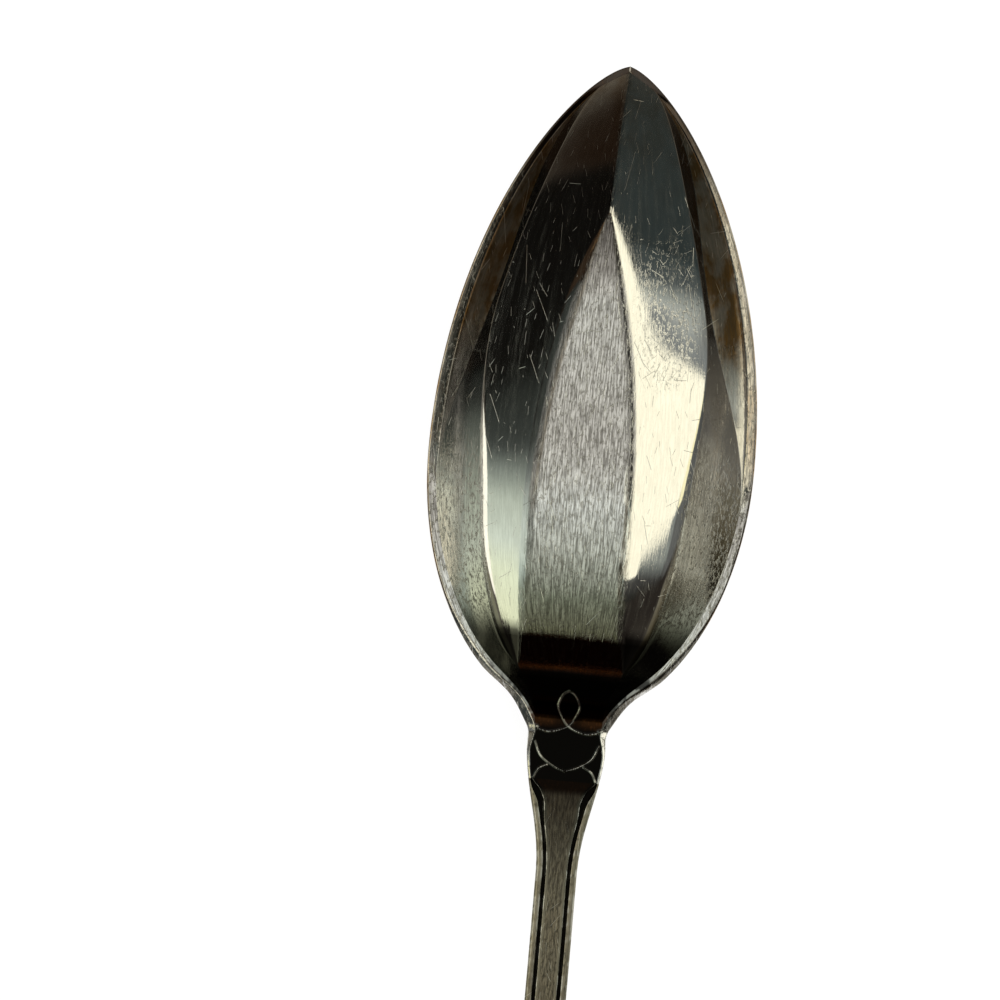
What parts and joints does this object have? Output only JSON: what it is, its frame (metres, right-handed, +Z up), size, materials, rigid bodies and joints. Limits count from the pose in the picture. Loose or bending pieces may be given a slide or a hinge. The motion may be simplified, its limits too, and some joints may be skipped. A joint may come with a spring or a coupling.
{
  "type": "grapefruit spoon",
  "caption": "Small spoon with a pointed, panelled bowl for scooping citrus segments, and a slim grooved stem that widens to a rounded handle end.",
  "frame": {"origin": "middle of the footprint, on the table that the spoon rests on", "axes": "+Y along the spoon towards the tip of the bowl, +Z up out of the hollow, X across it, with X = 0 the mid-plane"},
  "size_m": [0.027, 0.15, 0.0125],
  "materials": {
    "bowl_silver": "polished silver plate with fine scratches and a little brown tarnish",
    "neck_silver": "silver plate with dark patina in the engraved lines",
    "handle_silver": "worn satin silver plate with dark patina in the groove"
  },
  "bodies": {
    "root": {"bowl": "bowl_silver", "neck": "neck_silver", "handle": "handle_silver"}
  },
  "joints": []
}
